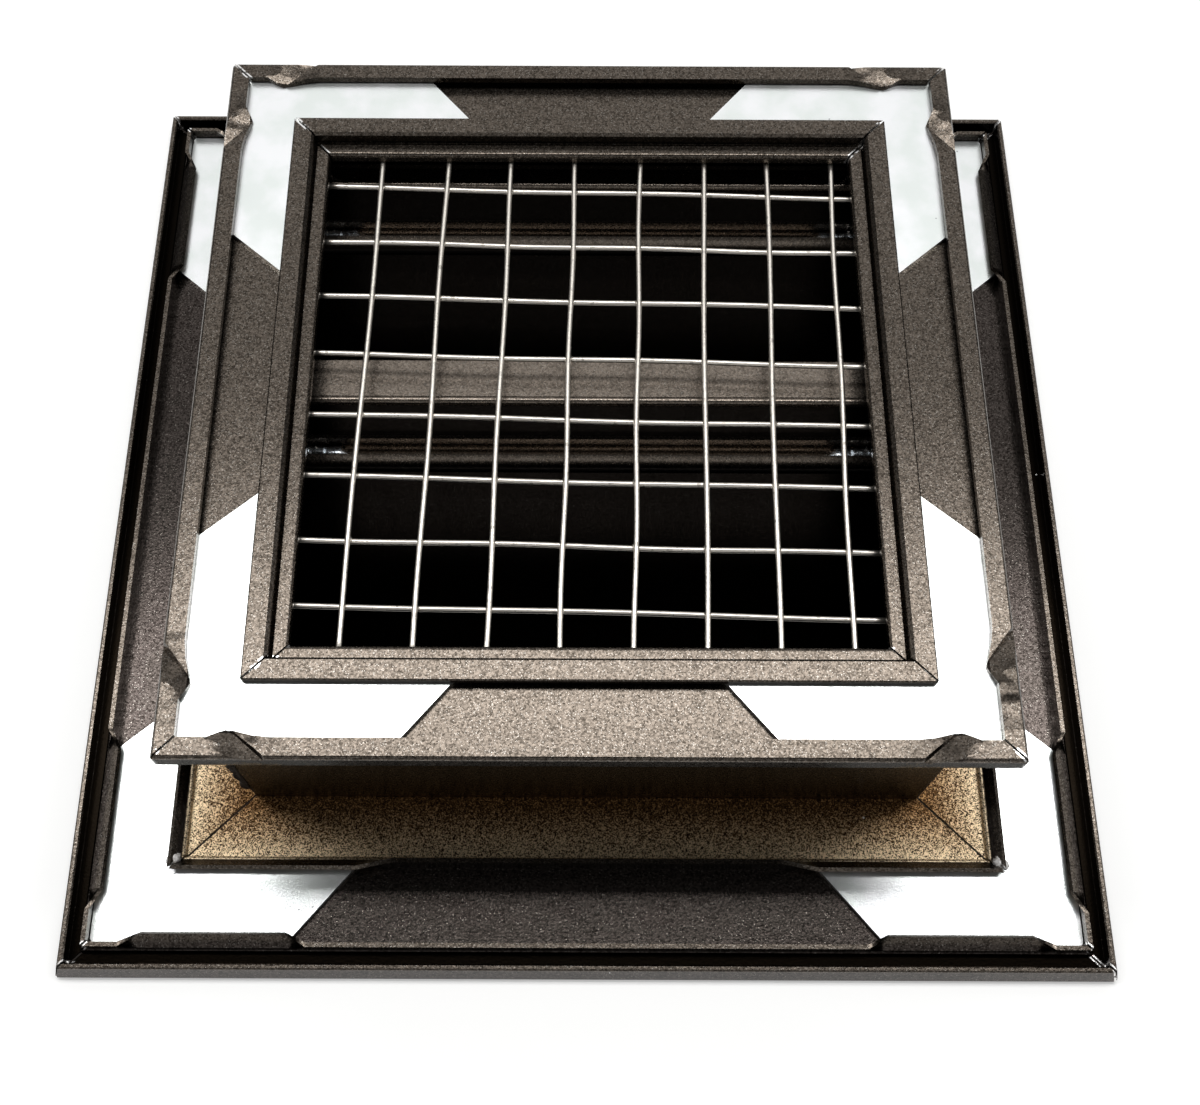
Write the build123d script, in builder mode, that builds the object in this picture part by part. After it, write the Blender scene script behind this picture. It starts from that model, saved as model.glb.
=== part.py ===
from build123d import *
import os
from math import cos, hypot, radians, sin, sqrt

# Foundation vent lying on its front face: X right, Y up the wall, Z from the front face into the wall.
# All sizes are in millimetres. In every rail's section the first coordinate is the distance outward
# from the middle of the vent.

# Overall sizes: the face, how far it stands out round the sleeve and how far the rear frame reaches in
face_size = 200.0
face_flange = 34.7
rear_inset = 14.0
depth = 53.5
mitre_gap = 0.3

# Front face and its outer edge, which flares out to a thin foot
face_wall = 1.4
edge_wall = 1.05
edge_height = 4.6
edge_flare = 1.15
edge_foot = 0.8

# Walls of the sleeve and the rear frame
sleeve_wall = 1.3
rear_wall = 1.2
rim_wall = 1.2
rim_reach = 3.7
rim_lip = 1.3
hook_wall = 1.5
hook_reach = 2.6
bead_wall = 2.0
bead_width = 3.0
bead_groove = 0.5

# Ribs beside the front key channel, with a thin lip on each
rib_setback = 4.4
rib_wall = 1.6
lip_wall = 0.85
lip_height = 2.3

# Corner keys
key_wall = 1.2
key_width = 14.7
key_leg = 49.6
key_cut_back = 12.5
key_corner_radius = 1.0
key_side_fit = 0.15
key_top_fit = 0.1
key_hook_fit = 0.2

# Crimps that fold the front lips over the keys
outer_crimp_lean = 58.0
inner_crimp_lean = 36.0
crimp_start = 16.0
crimp_fade = 4.0
inner_crimp_fade = 7.0

# Stakes that dent the rear rim down on the keys, with the wedge that the punch leaves beside each one
stake_steep = 3.0
stake_gentle = 7.5
stake_push = 1.45
stake_sink = 0.7
wedge_offset = 2.2
wedge_turn = 40.0
wedge_depth = 1.1
wedge_ramp = 3.7
wedge_wall = 0.5

# Each stake's distance from the rear corner, at the rail's left and right end seen from inside the vent
stake_setbacks = {
    "right_rail": (14.2, 16.6),
    "top_rail": (10.5, 12.9),
    "left_rail": (13.2, 13.9),
    "bottom_rail": (10.5, 11.9),
}

# Shape of a stake's bulge: place from its steep end at 1 to its gentle end at -1, and share of the dent
stake_shape = ((1, 0), (0.35, 0.7), (0, 1), (-0.2, 0.8), (-0.6, 0.25), (-1, 0))

# Broken edges of the extruded section
edge_break = 0.25
hook_break = 0.5
rib_round = 0.7
rim_round = 0.9
bead_round = 0.8

# Welded wire mesh and the slot that holds it
wire_diameter = 1.05
wire_pitch = 12.7
wire_sides = 8
weld_sink = 0.15
mesh_edge_fit = 2.1
mesh_turn = -1.3
mesh_shift_x = 2.5
mesh_shift_y = 0.5
mesh_play = 0.15
slot_depth = 4.8
slot_wall = 1.2
slot_lip_setback = 1.0

# Louvre blades
blade_wall = 1.2
blade_end_fit = 0.3
blade_top_gap = 5.1
blade_bottom_gap = 14.2
blade_rear_gap = 3.35
blade_front_gap = 3.0
blade_hook = 8.2
blade_bead = 1.8
web_run = 53.0
drip_lip = 6.0
boss_along = 17.1
boss_sink = 0.29
boss_wall = 1.6
boss_mouth = 3.3

# Self-drilling hex washer screws
screw_shank = 3.7
screw_fit = 0.1
screw_length = 19.0
drill_diameter = 3.0
drill_length = 4.5
drill_point = 1.0
washer_diameter = 8.2
washer_height = 0.9
hex_width = 6.35
hex_height = 2.9

# Places that follow from the sizes above
sleeve_size = face_size - 2 * face_flange
window_size = sleeve_size - 2 * rear_inset
face_half = face_size / 2
sleeve_half = sleeve_size / 2
sleeve_inside = sleeve_half - sleeve_wall
window_half = window_size / 2
hook_face = window_half + bead_width + hook_wall
rear_key_outer = hook_face + key_side_fit + key_width
rim_inside = rear_key_outer + key_side_fit
rear_half = rim_inside + rim_wall
edge_top = face_half - edge_flare
rib_height = face_wall + key_wall + key_top_fit
outer_rib = face_half - rib_setback
front_key_outer = outer_rib - rib_wall - key_side_fit
inner_rib = front_key_outer - key_width - key_side_fit
rear_floor = depth - rim_lip - key_hook_fit - key_wall
mesh_layer = wire_diameter - weld_sink
slot_height = mesh_layer + wire_diameter + 2 * mesh_play
slot_top = rear_floor - bead_wall
slot_bottom = slot_top - slot_height
slot_back = window_half + slot_depth
mesh_middle = (slot_top + slot_bottom) / 2
mesh_size = 2 * (slot_back - mesh_edge_fit)
wire_count = int(window_size / wire_pitch)
blade_length = 2 * (sleeve_inside - blade_end_fit)
blade_rear = slot_bottom - slot_wall - blade_rear_gap
blade_bends = {
    "lower_blade": blade_bottom_gap + drip_lip + web_run - sleeve_inside,
    "upper_blade": sleeve_inside - blade_top_gap,
}
web_drop = blade_rear - blade_front_gap
web_length = hypot(web_run, web_drop)
boss_bore = screw_shank + 2 * screw_fit
boss_offset = boss_bore / 2 + boss_wall - boss_sink
boss_back = (web_run * boss_along + web_drop * boss_offset) / web_length
boss_height = blade_rear - (web_drop * boss_along - web_run * boss_offset) / web_length
corner_names = ("top_right", "top_left", "bottom_left", "bottom_right")

os.makedirs("parts", exist_ok=True)


# Writes one finished piece under its node name
def save(part, name):
    part.label = name
    export_step(part, f"parts/{name}.step")


# One straight wall of the rail section
def strip(inner, outer, low, high):
    with Locations(((inner + outer) / 2, (low + high) / 2)):
        Rectangle(outer - inner, high - low)


# One straight wall of the blade section, with rounded ends
def blade_strip(start, end):
    middle = ((start[0] + end[0]) / 2, (start[1] + end[1]) / 2)
    SlotCenterPoint(middle, end, blade_wall)


# Outline of a front lip that leans towards the key; side is 1 on the outer rib and -1 on the inner one
def lip_outline(pivot, side, lean):
    along = (-side * sin(radians(lean)) * lip_height, cos(radians(lean)) * lip_height)
    across = (side * cos(radians(lean)) * lip_wall, sin(radians(lean)) * lip_wall)
    tip = (pivot + along[0], rib_height + along[1])
    return [
        (pivot + side * lip_wall / 4, face_wall),
        (pivot, rib_height),
        tip,
        (tip[0] + across[0], tip[1] + across[1]),
        (pivot + side * lip_wall, rib_height + across[1]),
        (pivot + side * lip_wall * 3 / 4, face_wall),
    ]


# Outline of the rear rim's lip, pushed inward and down by a share of the stake's full dent
def rim_outline(share):
    inner = rear_half - rim_reach - share * stake_push
    lowered = share * stake_sink
    root = (rim_inside + rear_half) / 2
    return [
        (root, depth - rim_lip),
        (root, depth),
        (inner, depth - lowered),
        (inner, depth - rim_lip - lowered * key_hook_fit / (key_hook_fit + stake_sink)),
    ]


# Stations along the half of a rear rim that has its stake at the given setback, outermost first
def rim_half(setback):
    peak = rear_half - setback
    stations = [(face_half, 0)]
    for place, share in stake_shape:
        stations.append((peak + place * (stake_steep if place > 0 else stake_gentle), share))
    return stations


# Stations from one end of a rail to the other, from those of its two halves
def both_halves(left, right):
    return [(-place, value) for place, value in left] + list(reversed(right))


def make_rail(name, side_angle, has_screws):
    section_plane = Plane.XZ.rotated((0, 0, side_angle))
    plan_plane = Plane.XY.rotated((0, 0, side_angle))
    outer_finish = front_key_outer - key_leg + key_cut_back
    outer_start = face_half - crimp_start
    inner_finish = front_key_outer - key_leg
    outer_lip = [
        (face_half, 0),
        (outer_start + crimp_fade, 0),
        (outer_start, outer_crimp_lean),
        (outer_finish, outer_crimp_lean),
        (outer_finish - crimp_fade, 0),
    ]
    inner_lip = [
        (face_half, inner_crimp_lean),
        (inner_finish, inner_crimp_lean),
        (inner_finish - inner_crimp_fade, 0),
    ]
    left_setback, right_setback = stake_setbacks[name]
    hook_inside = hook_face - hook_wall
    chamfered_corners = [
        (edge_top, edge_height, edge_break),
        (edge_top - edge_wall, edge_height, edge_break),
        (face_half, 0, edge_break),
        (hook_face + hook_reach, depth, edge_break),
        (hook_inside, depth, hook_break),
    ]
    rounded_corners = [
        (outer_rib, rib_height, rib_round),
        (inner_rib - rib_wall, rib_height, rib_round),
        (rear_half, depth, rim_round),
        (window_half, rear_floor, bead_round),
    ]

    with BuildPart() as rail:
        with BuildSketch(section_plane) as section:
            strip(sleeve_inside, edge_top, 0, face_wall)
            with BuildLine():
                Polyline(
                    (edge_top - edge_wall, 0),
                    (edge_top - edge_wall, edge_height),
                    (edge_top, edge_height),
                    (face_half, edge_foot),
                    (face_half, 0),
                    close=True,
                )
            make_face()
            strip(outer_rib - rib_wall, outer_rib, 0, rib_height)
            strip(inner_rib - rib_wall, inner_rib, 0, rib_height)
            strip(sleeve_inside, sleeve_half, 0, rear_floor)
            strip(window_half, rear_half, rear_floor - rear_wall, rear_floor)
            strip(rim_inside, rear_half, rear_floor - rear_wall, depth)
            strip(hook_inside, hook_face, rear_floor - rear_wall, depth)
            strip(hook_face, hook_face + hook_reach, depth - rim_lip, depth)
            strip(window_half, slot_back + slot_wall, slot_top, rear_floor)
            strip(slot_back, slot_back + slot_wall, slot_bottom - slot_wall, slot_top)
            strip(window_half + slot_lip_setback, slot_back, slot_bottom - slot_wall, slot_bottom)
            for outward, height, length in chamfered_corners:
                chamfer(section.vertices().sort_by_distance((outward, height, 0))[0], length)
            for outward, height, radius in rounded_corners:
                fillet(section.vertices().sort_by_distance((outward, height, 0))[0], radius)

            # A fine groove parts the bead from the hook
            with BuildLine():
                Polyline(
                    (hook_inside, rear_floor),
                    (hook_inside - bead_groove / 2, rear_floor - bead_groove),
                    (hook_inside - bead_groove, rear_floor),
                    close=True,
                )
            make_face(mode=Mode.SUBTRACT)
        extrude(amount=face_half, both=True)

        # The outer front lip is folded over the keys and stands up between them
        for place, lean in both_halves(outer_lip, outer_lip):
            with BuildSketch(section_plane.offset(place)):
                with BuildLine():
                    Polyline(lip_outline(outer_rib - rib_wall, 1, lean), close=True)
                make_face()
        loft(ruled=True)

        # The inner front lip is folded from the corner to the end of each key
        for place, lean in both_halves(inner_lip, inner_lip):
            with BuildSketch(section_plane.offset(place)):
                with BuildLine():
                    Polyline(lip_outline(inner_rib, -1, lean), close=True)
                make_face()
        loft(ruled=True)

        # The rear rim's lip bulges over the key at each stake
        for place, share in both_halves(rim_half(left_setback), rim_half(right_setback)):
            with BuildSketch(section_plane.offset(place)):
                with BuildLine():
                    Polyline(rim_outline(share), close=True)
                make_face()
        loft(ruled=True)

        # The punch leaves a slanting wedge in the lip, with a long ramp towards the corner
        for end, setback in ((1, left_setback), (-1, right_setback)):
            turn = side_angle + end * wedge_turn
            wedge_start = plan_plane.from_local_coords(
                (rear_half - rim_reach, end * (rear_half - setback - wedge_offset), depth)
            )
            wedge_plane = Plane(
                wedge_start,
                x_dir=Vector(1, 0, 0).rotate(Axis.Z, turn),
                z_dir=Vector(0, -1, 0).rotate(Axis.Z, turn),
            )
            with BuildSketch(wedge_plane):
                with BuildLine():
                    Polyline(
                        (0, -wedge_depth),
                        (2 * wedge_ramp, wedge_depth),
                        (-2 * wedge_wall, wedge_depth),
                        close=True,
                    )
                make_face()
            extrude(amount=2 * rim_reach, both=True, mode=Mode.SUBTRACT)

        if has_screws:
            with Locations(*[(0, bend - boss_back, boss_height) for bend in blade_bends.values()]):
                Cylinder(boss_bore / 2, sleeve_size + sleeve_wall, rotation=(0, 90, 0), mode=Mode.SUBTRACT)

        # Both ends are mitred
        with BuildSketch(plan_plane):
            with BuildLine():
                Polyline(
                    (mitre_gap / sqrt(2), 0),
                    (face_half + mitre_gap, face_half),
                    (face_half + mitre_gap, -face_half),
                    close=True,
                )
            make_face()
        extrude(amount=depth, mode=Mode.INTERSECT)
    save(rail.part, name)


def make_key(name, corner_angle, outer_edge, floor):
    inner_edge = outer_edge - key_width
    tip = outer_edge - key_leg
    with BuildPart() as key:
        with BuildSketch(Plane.XY.offset(floor).rotated((0, 0, corner_angle))) as outline:
            with BuildLine():
                Polyline(
                    (outer_edge, outer_edge),
                    (outer_edge, tip + key_cut_back),
                    (inner_edge, tip),
                    (inner_edge, inner_edge),
                    (tip, inner_edge),
                    (tip + key_cut_back, outer_edge),
                    close=True,
                )
            make_face()
            fillet(outline.vertices().sort_by_distance((outer_edge, outer_edge, 0))[0], key_corner_radius)
        extrude(amount=key_wall)
    save(key.part, name)


def make_blade(name, bend):
    flange_edge = (bend - blade_hook, blade_rear)
    rear_bend = (bend, blade_rear)
    front_bend = (bend - web_run, blade_front_gap)
    drip_edge = (bend - web_run - drip_lip, blade_front_gap)
    boss_middle = (bend - boss_back, boss_height)
    with BuildPart() as blade:
        with BuildSketch(Plane.YZ):
            blade_strip(flange_edge, rear_bend)
            blade_strip(rear_bend, front_bend)
            blade_strip(front_bend, drip_edge)
            with Locations(flange_edge):
                Circle(blade_bead / 2)
            with Locations(boss_middle):
                Circle(boss_bore / 2 + boss_wall)
                Circle(boss_bore / 2, mode=Mode.SUBTRACT)
                Rectangle(
                    boss_mouth,
                    boss_bore / 2 + 2 * boss_wall,
                    align=(Align.CENTER, Align.MIN),
                    mode=Mode.SUBTRACT,
                )
        extrude(amount=blade_length / 2, both=True)
    save(blade.part, name)


# Four rails of the one section, left and right ones drilled for the blade screws
for index, name in enumerate(stake_setbacks):
    make_rail(name, 90 * index, name in ("right_rail", "left_rail"))

# Eight corner keys, four on the front face and four on the rear frame
for index, corner in enumerate(corner_names):
    make_key(f"front_key_{corner}", 90 * index, front_key_outer, face_wall)
    make_key(f"rear_key_{corner}", 90 * index, rear_key_outer, rear_floor)

for name, bend in blade_bends.items():
    make_blade(name, bend)

# Mesh of two crossing layers of wires, welded where they cross and lying a little askew
wire_layers = {
    -mesh_layer / 2: (mesh_shift_y, Plane((0, 0, mesh_middle), x_dir=(0, 1, 0), z_dir=(1, 0, 0))),
    mesh_layer / 2: (mesh_shift_x, Plane((0, 0, mesh_middle), x_dir=(1, 0, 0), z_dir=(0, -1, 0))),
}
with BuildPart() as wire_mesh:
    for layer, (shift, across) in wire_layers.items():
        with BuildSketch(across.rotated((0, 0, mesh_turn))):
            with Locations((shift, layer)):
                with GridLocations(wire_pitch, 0, wire_count, 1):
                    RegularPolygon(wire_diameter / 2, wire_sides, False, rotation=180 / wire_sides)
        extrude(amount=mesh_size / 2, both=True)
save(wire_mesh.part, "wire_mesh")

# Screws through the side walls of the sleeve into the ends of the blades' bosses
with BuildPart() as blade_screws:
    for side in (-1, 1):
        for bend in blade_bends.values():
            seat = (side * sleeve_half, bend - boss_back, boss_height)
            with BuildSketch(Plane(seat, x_dir=(-side, 0, 0), z_dir=(0, -side, 0))):
                with BuildLine():
                    Polyline(
                        (-washer_height, 0),
                        (-washer_height, hex_width / 2),
                        (0, washer_diameter / 2),
                        (0, screw_shank / 2),
                        (screw_length - drill_length, screw_shank / 2),
                        (screw_length - drill_length, drill_diameter / 2),
                        (screw_length - drill_point, drill_diameter / 2),
                        (screw_length, 0),
                        close=True,
                    )
                make_face()
            revolve(axis=Axis(seat, (side, 0, 0)))
            with BuildSketch(Plane(seat, z_dir=(side, 0, 0))):
                RegularPolygon(hex_width / 2, 6, major_radius=False)
            extrude(amount=washer_height + hex_height)
save(blade_screws.part, "blade_screws")
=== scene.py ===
import bmesh
import bpy
import random
from math import pi, radians, sin, sqrt
from mathutils import Matrix, Vector


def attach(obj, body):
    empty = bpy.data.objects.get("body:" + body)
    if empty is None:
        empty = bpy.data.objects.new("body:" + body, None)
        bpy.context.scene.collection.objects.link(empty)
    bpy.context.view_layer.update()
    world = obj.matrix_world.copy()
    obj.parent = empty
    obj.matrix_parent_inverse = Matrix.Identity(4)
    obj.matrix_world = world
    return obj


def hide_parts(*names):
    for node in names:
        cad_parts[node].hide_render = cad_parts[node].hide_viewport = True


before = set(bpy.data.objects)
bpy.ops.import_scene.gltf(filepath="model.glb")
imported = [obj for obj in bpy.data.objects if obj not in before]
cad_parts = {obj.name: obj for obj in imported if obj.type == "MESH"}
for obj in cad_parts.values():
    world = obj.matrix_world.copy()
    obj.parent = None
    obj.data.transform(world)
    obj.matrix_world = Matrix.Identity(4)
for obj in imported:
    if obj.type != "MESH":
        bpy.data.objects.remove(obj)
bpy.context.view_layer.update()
print("frame loaded:", len(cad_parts), "nodes")

mm = 0.001


# Short ways to add nodes and join them. A value is a constant or another node's socket
def feed(tree, node, inputs):
    for key, value in inputs.items():
        if isinstance(value, bpy.types.NodeSocket):
            tree.links.new(value, node.inputs[key])
        else:
            node.inputs[key].default_value = value


def addNode(tree, kind, inputs=None, **settings):
    node = tree.nodes.new(kind)
    for key, value in settings.items():
        setattr(node, key, value)
    feed(tree, node, inputs or {})
    return node


def calc(tree, operation, first, *others):
    for other in others:
        first = addNode(tree, "ShaderNodeMath", {0: first, 1: other}, operation=operation).outputs[0]
    return first


def distance(tree, first, second):
    gap = calc(tree, "SUBTRACT", first, second)
    return addNode(tree, "ShaderNodeMath", {0: gap}, operation="ABSOLUTE").outputs[0]


def ramp(tree, value, low, high, start=0.0, end=1.0):
    inputs = {"Value": value, "From Min": low, "From Max": high, "To Min": start, "To Max": end}
    return addNode(tree, "ShaderNodeMapRange", inputs).outputs["Result"]


# A mask that is full only where each value is past its span
def zone(tree, *limits):
    return calc(tree, "MULTIPLY", *[ramp(tree, value, *span) for value, span in limits])


def mixColour(tree, factor, first, second):
    return addNode(tree, "ShaderNodeMix", {0: factor, 6: first, 7: second}, data_type="RGBA").outputs[2]


def emptyMaterial(name):
    material = bpy.data.materials.new(name)
    material.use_nodes = True
    material.node_tree.nodes.clear()
    return material, material.node_tree


def startMaterial(name):
    material, tree = emptyMaterial(name)
    shader = addNode(tree, "ShaderNodeBsdfPrincipled")
    addNode(tree, "ShaderNodeOutputMaterial", {"Surface": shader.outputs["BSDF"]})
    return material, tree, shader


def objectCoords(tree):
    return addNode(tree, "ShaderNodeTexCoord").outputs["Object"]


def addBump(tree, shader, inputs):
    feed(tree, shader, {"Normal": addNode(tree, "ShaderNodeBump", inputs).outputs["Normal"]})


def startGroup(name, inputs, output):
    group = bpy.data.node_groups.new(name, "ShaderNodeTree")
    group.interface.new_socket(name="Vector", in_out="INPUT", socket_type="NodeSocketVector")
    for label, value in inputs.items():
        socket = group.interface.new_socket(name=label, in_out="INPUT", socket_type="NodeSocketFloat")
        socket.default_value = value
    group.interface.new_socket(name=output, in_out="OUTPUT", socket_type="NodeSocketFloat")
    return group, addNode(group, "NodeGroupInput").outputs, addNode(group, "NodeGroupOutput")


def place(tree, group, inputs):
    return addNode(tree, "ShaderNodeGroup", inputs, node_tree=group).outputs[0]


# Random cells with a value each, and the distance to each cell's middle
def scatterCells(group, given):
    inputs = {"Vector": given["Vector"], "Scale": given["Scale"]}
    cells = addNode(group, "ShaderNodeTexVoronoi", inputs).outputs
    value = addNode(group, "ShaderNodeSeparateColor", {"Color": cells["Color"]}).outputs[0]
    return value, cells["Distance"]


# Scattered flakes or specks: random cells of which a share is on
speckGroup, given, result = startGroup(
    "scatteredSpecks", {"Scale": 3000.0, "Share": 0.3, "Softness": 0.1}, "Mask",
)
cellValue = scatterCells(speckGroup, given)[0]
cut = calc(speckGroup, "SUBTRACT", 1.0, given["Share"])
lowCut = calc(speckGroup, "SUBTRACT", cut, given["Softness"])
highCut = calc(speckGroup, "ADD", cut, given["Softness"])
feed(speckGroup, result, {"Mask": ramp(speckGroup, cellValue, lowCut, highCut)})

# Fine orange-peel height of a sprayed coat or a rolled sheet
grainGroup, given, result = startGroup("fineGrain", {"Scale": 1500.0, "Detail": 2.0}, "Height")
grainInputs = {label: given[label] for label in ("Vector", "Scale", "Detail")}
feed(grainGroup, result, {"Height": addNode(grainGroup, "ShaderNodeTexNoise", grainInputs).outputs["Fac"]})

# Small round chips, one in a share of the cells
chipGroup, given, result = startGroup("looseChips", {"Scale": 700.0, "Share": 0.01, "Size": 0.16}, "Mask")
cellValue, cellReach = scatterCells(chipGroup, given)
chosen = calc(chipGroup, "LESS_THAN", cellValue, given["Share"])
close = calc(chipGroup, "LESS_THAN", cellReach, given["Size"])
feed(chipGroup, result, {"Mask": calc(chipGroup, "MULTIPLY", chosen, close)})

# Bronze coat and its zones. A pair of lengths runs from where a zone has no effect to where it is full
coat = {
    "frontFacing": (-0.25, -0.45),
    "lipRise": 0.4 * mm,
    "fullRise": (1.1 * mm, 1.5 * mm),
    # the low colours are darker partly for a thinner coat and partly as painted shade under the rear frame
    # and inside the sleeve
    "lowShadedDark": (0.011, 0.0088, 0.0074, 1),
    "fullDark": (0.030, 0.0247, 0.0195, 1),
    "lowShadedLight": (0.072, 0.0605, 0.0545, 1),
    "mottle": {"Scale": 3700.0, "Softness": 0.5},
    "sparkle": (0.24, 0.222, 0.20, 1),
    "sparkles": {"Scale": 7500.0, "Softness": 0.005},
    "sparkleShare": (0.016, 0.040),
    # near-black colour painted as shade into the sleeve, the trough and the lower blades
    "shadeColour": (0.003, 0.0022, 0.0015, 1),
    "grainScale": 2200.0,
    "roughness": (0.23, 0.26),
    "grainRoughness": (0.3, 0.7, -0.04, 0.04),
    "bump": {"Strength": 0.35, "Distance": 0.00005},
}

railCoat = {
    "fullFrom": 2.75 * mm,
    "lipShare": 0.15,
    "light": (0.132, 0.111, 0.092, 1),
    "lightShare": 0.5,
    "outerEdge": (98.7 * mm, 99.1 * mm),
    "outerEdgeShade": 0.6,
    "sleeveWall": (65.8 * mm, 65.4 * mm),
    "sleeveTop": (49.3 * mm, 46.5 * mm),
    "sleeveShare": 0.80,
    "troughInner": (95.3 * mm, 95.7 * mm),
    "troughOuter": (98.0 * mm, 97.7 * mm),
    "troughTop": (4.2 * mm, 3.2 * mm),
}

recess = {
    "outer": (78.4 * mm, 78.0 * mm),
    "inner": (65.0 * mm, 65.6 * mm),
    "top": (3.1 * mm, 2.5 * mm),
    # from the sleeve out to the rib the gold goes from painted shade to a painted reflection
    "litTowardRib": (67.0 * mm, 77.0 * mm),
    "shadedGold": (0.50, 0.29, 0.125, 1),
    "pale": (0.90, 0.73, 0.49, 1),
    "dark": (0.11, 0.056, 0.021, 1),
    "grain": {"Scale": 4300.0, "Softness": 0.25},
    "paleShare": (0.30, 0.85),
    "speck": (0.024, 0.011, 0.005, 1),
    "dust": {"Scale": 5590.0, "Softness": 0.06},
    "dustAndShadeShare": (66.0 * mm, 77.0 * mm, 0.44, 0.28),
    "roughness": 0.32,
}

wear = {
    "bare": (0.78, 0.77, 0.76, 1),
    "mitre": (0.75 * mm, 0.60 * mm),
    "patches": {"Scale": 420.0, "Detail": 3.0},
    "patchCut": (0.51, 0.55),
    "chips": {"Scale": 700.0, "Share": 0.004},
}

stakes = {
    "begin": (50.0 * mm, 56.0 * mm),
    "end": (66.5 * mm, 60.5 * mm),
    "rim": (66.8 * mm, 67.4 * mm),
    "height": (49.6 * mm, 50.2 * mm),
    "folds": {"Scale": 270.0, "Detail": 0.5},
    # creases of the stakes darkened: painted shade
    "shadedCreases": (0.40, 0.62, 0.0, 0.55),
    "creaseShade": (0.020, 0.017, 0.014, 1),
    "ripple": {"Strength": 1.0, "Distance": 0.0006},
}

bladeCoat = {
    "fullFrom": 40.0 * mm,
    "lipShare": 0.6,
    # a lighter coat than on the rails: painted highlight on the blades' top band
    "light": (0.185, 0.156, 0.130, 1),
    "lightShare": 0.85,
    "bosses": [(-6.505 * mm, 34.49 * mm), (43.195 * mm, 34.49 * mm)],
    "bossEdge": (3.4 * mm, 3.0 * mm),
    "shadeShare": 0.85,
}


# Where a shaded point lies on the vent, and whether it faces the front
def locate(tree):
    source = addNode(tree, "ShaderNodeTexCoord").outputs
    axes = addNode(tree, "ShaderNodeSeparateXYZ", {0: source["Object"]}).outputs
    facing = addNode(tree, "ShaderNodeSeparateXYZ", {0: source["Normal"]}).outputs["Z"]
    acrossX = distance(tree, axes["X"], 0.0)
    acrossY = distance(tree, axes["Y"], 0.0)
    front = ramp(tree, facing, *coat["frontFacing"])
    return {
        "coords": source["Object"],
        "y": axes["Y"],
        "z": axes["Z"],
        "outward": calc(tree, "MAXIMUM", acrossX, acrossY),
        "along": calc(tree, "MINIMUM", acrossX, acrossY),
        "offMitre": distance(tree, acrossX, acrossY),
        "front": front,
        "behind": calc(tree, "SUBTRACT", 1.0, front),
    }


# The metallic coat is full on what stands up. Down below it is darker with fewer flakes: partly a thinner
# coat, partly painted shade under the rear frame and inside the sleeve
def risingLevel(tree, at, kind):
    fullFrom, lipShare = kind["fullFrom"], kind["lipShare"]
    begin, end = (fullFrom + rise for rise in coat["fullRise"])
    lipLevel = ramp(tree, at["z"], fullFrom, fullFrom + coat["lipRise"], 0.0, lipShare)
    return calc(tree, "ADD", lipLevel, ramp(tree, at["z"], begin, end, 0.0, 1.0 - lipShare))


def flakedColour(tree, at, kind, level):
    mottle = {"Vector": at["coords"], "Share": kind["lightShare"], **coat["mottle"]}
    dark = mixColour(tree, level, coat["lowShadedDark"], coat["fullDark"])
    light = mixColour(tree, level, coat["lowShadedLight"], kind["light"])
    colour = mixColour(tree, place(tree, speckGroup, mottle), dark, light)
    share = ramp(tree, level, 0.0, 1.0, *coat["sparkleShare"])
    sparkles = {"Vector": at["coords"], "Share": share, **coat["sparkles"]}
    return mixColour(tree, place(tree, speckGroup, sparkles), colour, coat["sparkle"])


# The recess beside the sleeve got only a dusting of coat over golden chromate. Its gold darkens with denser
# dark specks towards the sleeve and pales towards the rib: painted shade under the rear frame and a painted
# reflection along the rib
def goldColour(tree, at):
    litTowardRib = ramp(tree, at["outward"], *recess["litTowardRib"])
    paleShare = ramp(tree, litTowardRib, 0.0, 1.0, *recess["paleShare"])
    grain = {"Vector": at["coords"], "Share": paleShare, **recess["grain"]}
    warm = mixColour(tree, litTowardRib, recess["shadedGold"], recess["pale"])
    gold = mixColour(tree, place(tree, speckGroup, grain), recess["dark"], warm)
    dustAndShadeShare = ramp(tree, at["outward"], *recess["dustAndShadeShare"])
    dust = {"Vector": at["coords"], "Share": dustAndShadeShare, **recess["dust"]}
    return mixColour(tree, place(tree, speckGroup, dust), gold, recess["speck"])


def finishCoat(tree, shader, at, level, colour, rougher=0.0, ripple=None):
    grain = place(tree, grainGroup, {"Vector": at["coords"], "Scale": coat["grainScale"]})
    even = ramp(tree, level, 0.0, 1.0, *coat["roughness"])
    roughness = calc(tree, "ADD", even, ramp(tree, grain, *coat["grainRoughness"]), rougher)
    feed(tree, shader, {"Base Color": colour, "Metallic": 1.0, "Roughness": roughness})
    bump = {"Height": grain, **coat["bump"]}
    if ripple is not None:
        bump["Normal"] = ripple
    addBump(tree, shader, bump)


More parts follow.
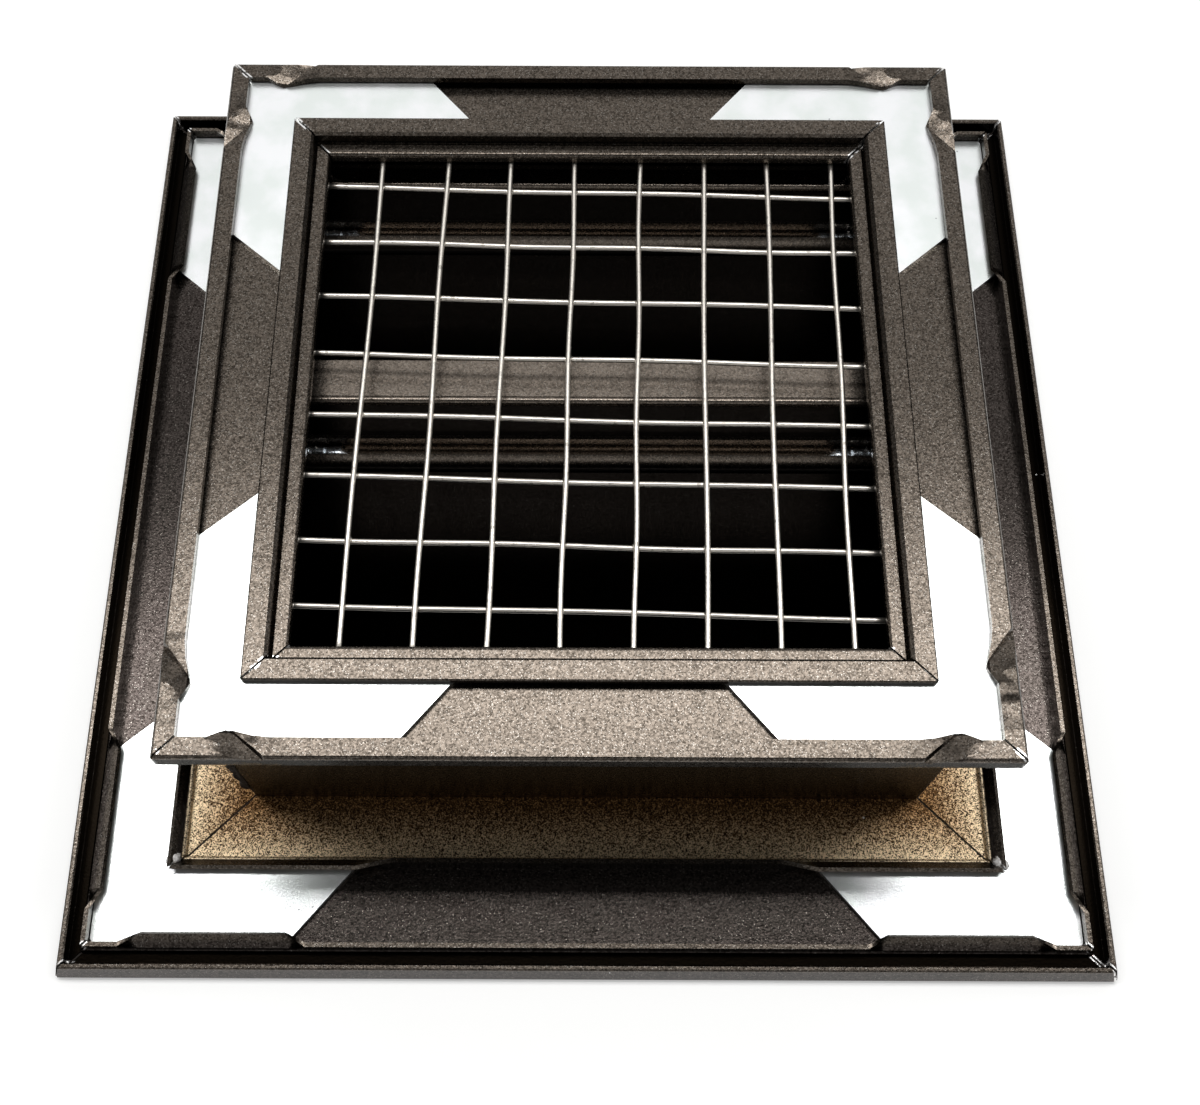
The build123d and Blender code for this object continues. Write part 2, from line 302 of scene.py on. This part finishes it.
def makeRailCoat():
    material, tree, shader = startMaterial("railCoat")
    at = locate(tree)
    outward, z = at["outward"], at["z"]
    # the outside face of the outer edge gets a darker coat: painted shade
    edge = ramp(tree, outward, *railCoat["outerEdge"], 1.0, railCoat["outerEdgeShade"])
    level = calc(tree, "MULTIPLY", risingLevel(tree, at, railCoat), edge)
    # the front shows outside the wall and is coated in full
    level = calc(tree, "MAXIMUM", level, at["front"])
    colour = flakedColour(tree, at, railCoat, level)

    # the sleeve and the narrow trough inside the outer edge are mixed towards near-black: painted shade
    sleeve = zone(tree, (outward, railCoat["sleeveWall"]), (z, railCoat["sleeveTop"]))
    sleeve = calc(tree, "MULTIPLY", sleeve, at["behind"])
    trough = zone(
        tree, (outward, railCoat["troughInner"]), (outward, railCoat["troughOuter"]),
        (z, railCoat["troughTop"]),
    )
    shaded = calc(tree, "MAXIMUM", calc(tree, "MULTIPLY", sleeve, railCoat["sleeveShare"]), trough)
    colour = mixColour(tree, shaded, colour, coat["shadeColour"])

    golden = zone(tree, (outward, recess["outer"]), (outward, recess["inner"]), (z, recess["top"]))
    golden = calc(tree, "MULTIPLY", golden, at["behind"])
    colour = mixColour(tree, golden, colour, goldColour(tree, at))

    # saw-cut metal shows here and there along the mitres, and the thin coat has a few chips
    patches = place(tree, grainGroup, {"Vector": at["coords"], **wear["patches"]})
    worn = zone(tree, (at["offMitre"], wear["mitre"]), (patches, wear["patchCut"]))
    spared = calc(tree, "MAXIMUM", golden, sleeve)
    worn = calc(tree, "MULTIPLY", worn, at["behind"], calc(tree, "SUBTRACT", 1.0, spared))
    chips = place(tree, chipGroup, {"Vector": at["coords"], **wear["chips"]})
    chips = calc(tree, "MULTIPLY", chips, calc(tree, "SUBTRACT", 1.0, level))
    colour = mixColour(tree, calc(tree, "MAXIMUM", worn, chips), colour, wear["bare"])

    # the stakes in the rear rim left the metal crushed and rippled; their creases are darkened with painted
    # shade
    along = at["along"]
    staked = zone(
        tree, (along, stakes["begin"]), (along, stakes["end"]),
        (outward, stakes["rim"]), (z, stakes["height"]),
    )
    folds = place(tree, grainGroup, {"Vector": at["coords"], **stakes["folds"]})
    shadedCreases = calc(tree, "MULTIPLY", staked, ramp(tree, folds, *stakes["shadedCreases"]))
    colour = mixColour(tree, shadedCreases, colour, stakes["creaseShade"])
    rippled = {"Height": calc(tree, "MULTIPLY", folds, staked), **stakes["ripple"]}
    ripple = addNode(tree, "ShaderNodeBump", rippled).outputs["Normal"]

    rougher = calc(tree, "MULTIPLY", golden, recess["roughness"])
    finishCoat(tree, shader, at, level, colour, rougher, ripple)
    return material


def makeBladeCoat():
    material, tree, shader = startMaterial("bladeCoat")
    at = locate(tree)
    # below the flange top the blade's coat is darker: painted shade inside the sleeve
    level = calc(tree, "MAXIMUM", risingLevel(tree, at, bladeCoat), at["front"])
    # the screw bosses keep the full coat, out of the painted shade
    for across, height in bladeCoat["bosses"]:
        reach = calc(tree, "MAXIMUM", distance(tree, at["y"], across), distance(tree, at["z"], height))
        level = calc(tree, "MAXIMUM", level, ramp(tree, reach, *bladeCoat["bossEdge"]))
    colour = flakedColour(tree, at, bladeCoat, level)
    # the rest of the lower blade is mixed towards near-black: painted shade
    shaded = calc(tree, "MULTIPLY", calc(tree, "SUBTRACT", 1.0, level), bladeCoat["shadeShare"])
    finishCoat(tree, shader, at, level, mixColour(tree, shaded, colour, coat["shadeColour"]))
    return material


galvanised = {
    "colour": (0.76, 0.80, 0.78, 1),
    "pale": (0.85, 0.86, 0.87, 1),
    "grey": (0.42, 0.43, 0.44, 1),
    "clouds": {"Scale": 130.0, "Detail": 4.0},
    "paleCut": (0.40, 0.62),
    "dots": {"Scale": 420.0, "Share": 0.10, "Size": 0.09},
    "roughness": (0.3, 0.7, 0.29, 0.34),
    "grainScale": 2600.0,
    "bump": {"Strength": 0.33, "Distance": 0.00006},
}


def makeGalvanised():
    material, tree, shader = startMaterial("galvanisedSheet")
    coords = objectCoords(tree)
    clouds = place(tree, grainGroup, {"Vector": coords, **galvanised["clouds"]})
    cloudy = ramp(tree, clouds, *galvanised["paleCut"])
    colour = mixColour(tree, cloudy, galvanised["colour"], galvanised["pale"])
    dots = place(tree, chipGroup, {"Vector": coords, **galvanised["dots"]})
    colour = mixColour(tree, dots, colour, galvanised["grey"])
    roughness = ramp(tree, clouds, *galvanised["roughness"])
    feed(tree, shader, {"Base Color": colour, "Metallic": 1.0, "Roughness": roughness})
    grain = place(tree, grainGroup, {"Vector": coords, "Scale": galvanised["grainScale"]})
    addBump(tree, shader, {"Height": grain, **galvanised["bump"]})
    return material


brightMetal = {
    "stains": {"Scale": 1500.0, "Softness": 0.03},
    "grainScale": 2200.0,
    "grainRange": (0.3, 0.7),
    "roughnessSpread": 0.06,
    "bump": {"Strength": 0.2, "Distance": 0.00004},
}

wireMetal = {
    "colour": (0.78, 0.735, 0.665, 1),
    "stain": (0.25, 0.23, 0.20, 1),
    "stainShare": 0.01,
    "roughness": 0.33,
}

screwMetal = {
    "colour": (0.74, 0.78, 0.82, 1),
    "stain": (0.45, 0.47, 0.48, 1),
    "stainShare": 0.10,
    "roughness": 0.20,
}


def makeBrightMetal(name, kind):
    material, tree, shader = startMaterial(name)
    coords = objectCoords(tree)
    stains = {"Vector": coords, "Share": kind["stainShare"], **brightMetal["stains"]}
    colour = mixColour(tree, place(tree, speckGroup, stains), kind["colour"], kind["stain"])
    grain = place(tree, grainGroup, {"Vector": coords, "Scale": brightMetal["grainScale"]})
    low = kind["roughness"] - brightMetal["roughnessSpread"]
    high = kind["roughness"] + brightMetal["roughnessSpread"]
    roughness = ramp(tree, grain, *brightMetal["grainRange"], low, high)
    feed(tree, shader, {"Base Color": colour, "Metallic": 1.0, "Roughness": roughness})
    addBump(tree, shader, {"Height": grain, **brightMetal["bump"]})
    return material


railMaterial = makeRailCoat()
bladeMaterial = makeBladeCoat()
sheetMaterial = makeGalvanised()
wireMaterial = makeBrightMetal("galvanisedWire", wireMetal)
screwMaterial = makeBrightMetal("zincPlate", screwMetal)
print("materials made")

for name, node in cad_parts.items():
    material = sheetMaterial if "key" in name else railMaterial if "rail" in name else bladeMaterial
    if not node.data.materials:
        node.data.materials.append(material)
    for index in range(len(node.data.materials)):
        node.data.materials[index] = material


# Turns a finished bmesh into an object of the scene
def addObject(shape, name, material):
    mesh = bpy.data.meshes.new(name)
    shape.to_mesh(mesh)
    shape.free()
    mesh.materials.append(material)
    added = bpy.data.objects.new(name, mesh)
    bpy.context.scene.collection.objects.link(added)
    return added


# Makes a finished bmesh a piece of the vent
def finishPiece(shape, name, material, replaced=None, smooth=True):
    bmesh.ops.recalc_face_normals(shape, faces=shape.faces)
    piece = addObject(shape, name, material)
    if smooth:
        piece.data.shade_smooth()
    else:
        piece.data.shade_flat()
    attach(piece, "root")
    if replaced:
        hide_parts(replaced)


# The edges at some corners, each once and in the same order in every run
def edgesOf(verts):
    return list(dict.fromkeys(edge for vert in verts for edge in vert.link_edges))


def soften(shape, verts, factor):
    bmesh.ops.smooth_vert(
        shape, verts=verts, factor=factor, use_axis_x=True, use_axis_y=True, use_axis_z=True,
    )


meshPanel = {
    "wireRadius": 0.525 * mm,
    "sides": 10,
    "pitch": 12.7 * mm,
    "count": 8,
    "half": 54.0 * mm,
    "turn": radians(-1.3),
    "shift": (2.5 * mm, 0.5 * mm),
    "middle": 47.675 * mm,
    "layer": 0.45 * mm,
    "steps": 30,
    "sway": 0.16 * mm,
    "bends": (1.2, 2.6),
    "nuggetSize": (1.02, 1.16),
    "nuggetSpread": 1.15,
}


# One wire drawn out ring by ring along Y, with the slight sway of straightened wire
def drawWire(shape, across, height, turn, chance):
    steps = meshPanel["steps"]
    ring = bmesh.ops.create_circle(
        shape, cap_ends=True, segments=meshPanel["sides"], radius=meshPanel["wireRadius"],
        matrix=Matrix.Translation((across, -meshPanel["half"], height)) @ Matrix.Rotation(pi / 2, 4, "X"),
    )
    verts = list(ring["verts"])
    edges = edgesOf(verts)
    phase = chance.uniform(0, 2 * pi)
    bends = chance.uniform(*meshPanel["bends"])
    sways = [meshPanel["sway"] * sin(phase + bends * 2 * pi * index / steps) for index in range(steps + 1)]
    for before, after in zip(sways, sways[1:]):
        grown = bmesh.ops.extrude_edge_only(shape, edges=edges)["geom"]
        fresh = [part for part in grown if isinstance(part, bmesh.types.BMVert)]
        grownEdges = [part for part in grown if isinstance(part, bmesh.types.BMEdge)]
        edges = [edge for edge in grownEdges if all(vert in fresh for vert in edge.verts)]
        bmesh.ops.translate(shape, verts=fresh, vec=(after - before, 2 * meshPanel["half"] / steps, 0))
        verts += fresh
    bmesh.ops.edgeloop_fill(shape, edges=edges)
    bmesh.ops.rotate(shape, verts=verts, cent=(0, 0, 0), matrix=Matrix.Rotation(turn, 3, "Z"))


def buildMeshPanel():
    shape = bmesh.new()
    chance = random.Random(7)
    shiftX, shiftY = meshPanel["shift"]
    middle, layer, turn = meshPanel["middle"], meshPanel["layer"], meshPanel["turn"]
    first = -(meshPanel["count"] - 1) / 2
    places = [(first + index) * meshPanel["pitch"] for index in range(meshPanel["count"])]
    for along in places:
        drawWire(shape, shiftX + along, middle + layer, turn, chance)
        drawWire(shape, shiftY + along, middle - layer, turn + pi / 2, chance)
    # weld nuggets where the wires cross
    spread = meshPanel["nuggetSpread"]
    for alongX in places:
        for alongY in places:
            spot = Vector((shiftX + alongX, shiftY + alongY, middle))
            spot.rotate(Matrix.Rotation(turn, 3, "Z"))
            size = chance.uniform(*meshPanel["nuggetSize"]) * meshPanel["wireRadius"]
            nugget = Matrix.Translation(spot) @ Matrix.Diagonal((spread, spread, 1, 1))
            bmesh.ops.create_icosphere(shape, subdivisions=1, radius=size, matrix=nugget)
    finishPiece(shape, "weldedMesh", wireMaterial, "wire_mesh")


buildMeshPanel()
print("welded mesh drawn")

screws = {
    "seats": [(side * 65.3 * mm, y * mm, 34.49 * mm) for side in (-1, 1) for y in (-6.505, 43.195)],
    "length": 19.0 * mm,
    "sides": 24,
    "core": 1.4 * mm,
    "threadStart": 0.6 * mm,
    "threadHalf": 0.42 * mm,
    "threadRoot": 1.316 * mm,
    "crest": 1.85 * mm,
    "threadPitch": 1.4 * mm,
    "threadTurns": 9,
    "threadSteps": 18,
    "drillLength": 4.5 * mm,
    "drill": 1.5 * mm,
    "drillNeck": 1.29 * mm,
    "neckLength": 0.4 * mm,
    "tipLength": 1.3 * mm,
    "fluteStart": 0.2 * mm,
    "fluteReach": 0.4 * mm,
    "fluteWidth": 0.45,
    "flutePinch": 0.62,
    "washerRadius": 4.1 * mm,
    "washerTop": 3.4827 * mm,
    "washerRim": 0.35 * mm,
    "washerHeight": 0.9 * mm,
    "hexRadius": 3.666 * mm,
    "hexHeight": 2.9 * mm,
    "hexBevel": 0.18 * mm,
}


# Spins a line of points about the X axis, in one place or forward as a thread
def spinLine(shape, points, turns, steps, forward=0.0):
    verts = [shape.verts.new((along, 0, radius)) for along, radius in points]
    edges = [shape.edges.new(pair) for pair in zip(verts, verts[1:])]
    bmesh.ops.spin(
        shape, geom=verts + edges, cent=(0, 0, 0), axis=(1, 0, 0), angle=2 * pi * turns, steps=steps,
        dvec=(forward, 0, 0), use_merge=not forward, use_duplicate=False,
    )


# One screw along +X from its seat at the origin, threaded and with a fluted drill tip
def turnScrew():
    shape = bmesh.new()
    length, core, drill = screws["length"], screws["core"], screws["drill"]
    threadEnd = length - screws["drillLength"]
    spinLine(shape, [
        (-screws["washerHeight"], 0),
        (-screws["washerHeight"], screws["washerTop"]),
        (-screws["washerRim"], screws["washerRadius"]),
        (0, screws["washerRadius"]),
        (0, core),
        (threadEnd, core),
        (threadEnd + screws["neckLength"], screws["drillNeck"]),
        (length - screws["tipLength"], drill),
        (length, 0),
    ], 1, screws["sides"])
    start, half, root = screws["threadStart"], screws["threadHalf"], screws["threadRoot"]
    turns, steps = screws["threadTurns"], screws["threadSteps"]
    wedge = [(start - half, root), (start, screws["crest"]), (start + half, root)]
    spinLine(shape, wedge, turns, steps * turns, screws["threadPitch"] / steps)
    headMiddle = Matrix.Translation((-screws["washerHeight"] - screws["hexHeight"] / 2, 0, 0))
    hexHead = bmesh.ops.create_cone(
        shape, cap_ends=True, segments=6, radius1=screws["hexRadius"], radius2=screws["hexRadius"],
        depth=screws["hexHeight"], matrix=headMiddle @ Matrix.Rotation(pi / 2, 4, "Y"),
    )
    bmesh.ops.bevel(
        shape, geom=edgesOf(hexHead["verts"]), offset=screws["hexBevel"], offset_type="OFFSET",
        segments=2, profile=0.5, affect="EDGES", material=-1,
    )
    # two flutes pinched into the drill tip
    for vert in shape.verts:
        reach = vert.co.yz.length
        onDrill = vert.co.x > threadEnd + screws["fluteStart"] and reach > screws["fluteReach"]
        if onDrill and abs(vert.co.y) < screws["fluteWidth"] * reach:
            vert.co.z *= screws["flutePinch"]
    pattern = bpy.data.meshes.new("screwPattern")
    shape.to_mesh(pattern)
    shape.free()
    return pattern


def buildScrews():
    pattern = turnScrew()
    shape = bmesh.new()
    for seat in screws["seats"]:
        begin = len(shape.verts)
        shape.from_mesh(pattern)
        shape.verts.ensure_lookup_table()
        turned = Matrix.Rotation(pi if seat[0] > 0 else 0, 4, "Z")
        bmesh.ops.transform(shape, verts=shape.verts[begin:], matrix=Matrix.Translation(seat) @ turned)
    bpy.data.meshes.remove(pattern)
    finishPiece(shape, "drillScrews", screwMaterial, "blade_screws", smooth=False)


buildScrews()
print("screws threaded")

# Each seam of the sealant gives its start and end along X or Y, and its low and high end
sealant = {
    "low": Vector((-66.7, -65.5, 7.6)) * mm,
    "high": Vector((-64.9, -63.6, 24.0)) * mm,
    "cuts": 9,
    "swell": (0.35, 1.0),
    "rough": 0.225 * mm,
    "soften": 0.35,
    "seamWidth": 0.26 * mm,
    "seams": [(64.2 * mm, 98.6 * mm, 0.1 * mm, 1.2 * mm), (64.1 * mm, 65.2 * mm, 1.2 * mm, 49.4 * mm)],
    "black": (0.004, 0.003, 0.003, 1),
    "brown": (0.035, 0.024, 0.016, 1),
    "lumps": {"Scale": 900.0, "Detail": 4.0},
    "roughness": (0.3, 0.7, 0.55, 0.8),
    "specular": 0.25,
    "bump": {"Strength": 0.6, "Distance": 0.0002},
}


def makeSealantMaterial():
    material, tree, shader = startMaterial("oldSealant")
    lumps = place(tree, grainGroup, {"Vector": objectCoords(tree), **sealant["lumps"]})
    colour = mixColour(tree, lumps, sealant["black"], sealant["brown"])
    feed(tree, shader, {"Base Color": colour, "Roughness": ramp(tree, lumps, *sealant["roughness"])})
    shader.inputs["Specular IOR Level"].default_value = sealant["specular"]
    addBump(tree, shader, {"Height": lumps, **sealant["bump"]})
    return material


# A ragged strip of old sealant squeezed out of the sleeve's near left seam
def buildSealant():
    shape = bmesh.new()
    chance = random.Random(3)
    low, high = sealant["low"], sealant["high"]
    size = high - low
    strip = Matrix.Translation((high + low) / 2) @ Matrix.Diagonal((*size, 1))
    bmesh.ops.create_cube(shape, size=1.0, matrix=strip)
    bmesh.ops.subdivide_edges(shape, edges=shape.edges[:], cuts=sealant["cuts"], use_grid_fill=True)
    ragged = {}
    for vert in shape.verts:
        ring = round((vert.co.z - low.z) / size.z * (sealant["cuts"] + 1))
        if ring not in ragged:
            ragged[ring] = chance.uniform(*sealant["swell"])
        # the strip swells and thins from ring to ring, and stays against the sleeve
        vert.co.x = high.x + (vert.co.x - high.x) * ragged[ring]
        vert.co += Vector([chance.uniform(-1, 1) for _ in range(3)]) * sealant["rough"]
    soften(shape, shape.verts[:], sealant["soften"])
    # thin fillings of the four mitres, in the face and up the sleeve's corners
    for quarter in range(4):
        turned = Matrix.Rotation(radians(45 + 90 * quarter), 4, "Z")
        for start, end, bottom, top in sealant["seams"]:
            reach = Vector(((end - start) * sqrt(2), sealant["seamWidth"], top - bottom))
            centre = Matrix.Translation(((end + start) / 2 * sqrt(2), 0, (top + bottom) / 2))
            bmesh.ops.create_cube(shape, size=1.0, matrix=turned @ centre @ Matrix.Diagonal((*reach, 1)))
    finishPiece(shape, "seamSealant", makeSealantMaterial(), smooth=False)


buildSealant()
print("sealant squeezed out")

curls = {
    "places": [((-79.3, -78.3, 4.0), 28), ((79.5, -78.5, 4.0), 150)],
    "size": (3.0 * mm, 2.2 * mm, 1.3 * mm),
    "crumple": 0.30,
    "soften": 0.3,
    "dull": (0.50, 0.47, 0.44, 1),
    "bright": (0.86, 0.84, 0.82, 1),
    "metallic": 0.25,
    "streaks": {"Scale": 2400.0, "Detail": 5.0},
    "brightCut": (0.35, 0.65),
    "roughness": (0.3, 0.7, 0.40, 0.60),
    "bump": {"Strength": 0.7, "Distance": 0.0001},
}


def makeCurlMaterial():
    material, tree, shader = startMaterial("tornLip")
    streaks = place(tree, grainGroup, {"Vector": objectCoords(tree), **curls["streaks"]})
    colour = mixColour(tree, ramp(tree, streaks, *curls["brightCut"]), curls["dull"], curls["bright"])
    roughness = ramp(tree, streaks, *curls["roughness"])
    feed(tree, shader, {"Base Color": colour, "Metallic": curls["metallic"], "Roughness": roughness})
    addBump(tree, shader, {"Height": streaks, **curls["bump"]})
    return material


# The saw left the end of each side lip torn and crumpled at the near corners
def buildCurls():
    shape = bmesh.new()
    chance = random.Random(11)
    for middle, turn in curls["places"]:
        fresh = bmesh.ops.create_icosphere(shape, subdivisions=3, radius=0.5)["verts"]
        for vert in fresh:
            vert.co *= 1 + chance.uniform(-curls["crumple"], curls["crumple"])
        soften(shape, fresh, curls["soften"])
        where = Matrix.Translation(Vector(middle) * mm) @ Matrix.Rotation(radians(turn), 4, "Z")
        bmesh.ops.transform(shape, matrix=where @ Matrix.Diagonal((*curls["size"], 1)), verts=fresh)
    finishPiece(shape, "lipCurls", makeCurlMaterial())


buildCurls()
print("torn lip ends crumpled")

# Floor and light. Each lamp gives its place, its width and depth, and its power
studio = {
    "floorSize": 8.0,
    "floorHeight": -0.2 * mm,
    "floorColour": (0.8, 0.8, 0.79, 1),
    "floorGlow": 0.30,
    "sweep": (0.5, 1.5),
    "lamps": {
        "overheadLamp": ((0.0, 0.18, 0.80), (1.30, 0.16), 6.0),
        "backSoftbox": ((0.0, 0.95, 0.90), (1.7, 0.8), 3.8),
        "frontSoftbox": ((0.0, -1.4, 0.85), (2.6, 1.0), 3.8),
        "leftCard": ((-1.0, -0.2, 0.40), (1.3, 0.6), 2.4),
        "rightCard": ((1.0, -0.2, 0.40), (1.3, 0.6), 2.4),
    },
    "lampTarget": Vector((0, 0, 0.02)),
    "worldLevel": 0.13,
}

photoCamera = {
    "sensor_fit": "HORIZONTAL",
    "sensor_width": 36.0,
    "lens": 44.614,
    "shift_x": 0.02048,
    "shift_y": -0.00673,
    "clip_start": 0.01,
}
cameraPlace = (-0.00256, -0.13619, 0.29015)
cameraTurn = (0.408984, -0.002087, 0.003667)


def makeFloorMaterial():
    material, tree = emptyMaterial("whiteSweep")
    path = addNode(tree, "ShaderNodeLightPath").outputs
    direct = path["Is Camera Ray"]
    seen = calc(tree, "MAXIMUM", direct, path["Is Glossy Ray"], path["Is Transmission Ray"])
    # the floor stays white far from the vent, where the lamps no longer reach
    away = addNode(tree, "ShaderNodeVectorMath", {0: objectCoords(tree)}, operation="LENGTH").outputs["Value"]
    farGlow = ramp(tree, away, *studio["sweep"], 0.0, 1.0 - studio["floorGlow"])
    nearGlow = calc(tree, "MULTIPLY", seen, studio["floorGlow"])
    strength = calc(tree, "ADD", nearGlow, calc(tree, "MULTIPLY", direct, farGlow))
    matt = addNode(tree, "ShaderNodeBsdfDiffuse", {"Color": studio["floorColour"]})
    glow = addNode(tree, "ShaderNodeEmission", {"Strength": strength})
    both = addNode(tree, "ShaderNodeAddShader", {0: matt.outputs[0], 1: glow.outputs[0]})
    addNode(tree, "ShaderNodeOutputMaterial", {"Surface": both.outputs[0]})
    return material


def makeFloor():
    shape = bmesh.new()
    bmesh.ops.create_grid(
        shape, x_segments=1, y_segments=1, size=studio["floorSize"],
        matrix=Matrix.Translation((0, 0, studio["floorHeight"])),
    )
    floor = addObject(shape, "paleFloor", makeFloorMaterial())


def addLamp(name, where, size, power):
    lamp = bpy.data.lights.new(name, "AREA")
    lamp.shape = "RECTANGLE"
    lamp.size, lamp.size_y = size
    lamp.energy = power
    holder = bpy.data.objects.new(name, lamp)
    holder.location = where
    holder.rotation_euler = (studio["lampTarget"] - Vector(where)).to_track_quat("-Z", "Y").to_euler()
    bpy.context.scene.collection.objects.link(holder)


# The world is white to the camera and dim as a light
def makeWorld():
    world = bpy.data.worlds.new("studio")
    world.use_nodes = True
    tree = world.node_tree
    direct = addNode(tree, "ShaderNodeLightPath").outputs["Is Camera Ray"]
    strength = ramp(tree, direct, 0.0, 1.0, studio["worldLevel"], 1.0)
    feed(tree, tree.nodes["Background"], {"Color": (1, 1, 1, 1), "Strength": strength})
    bpy.context.scene.world = world


def addCamera():
    data = bpy.data.cameras.new("photoCamera")
    for key, value in photoCamera.items():
        setattr(data, key, value)
    camera = bpy.data.objects.new("photoCamera", data)
    camera.location = cameraPlace
    camera.rotation_euler = cameraTurn
    bpy.context.scene.collection.objects.link(camera)
    bpy.context.scene.camera = camera


makeFloor()
for name, (where, size, power) in studio["lamps"].items():
    addLamp(name, where, size, power)
makeWorld()
addCamera()
bpy.context.scene.view_settings.view_transform = "Standard"
print("studio set")
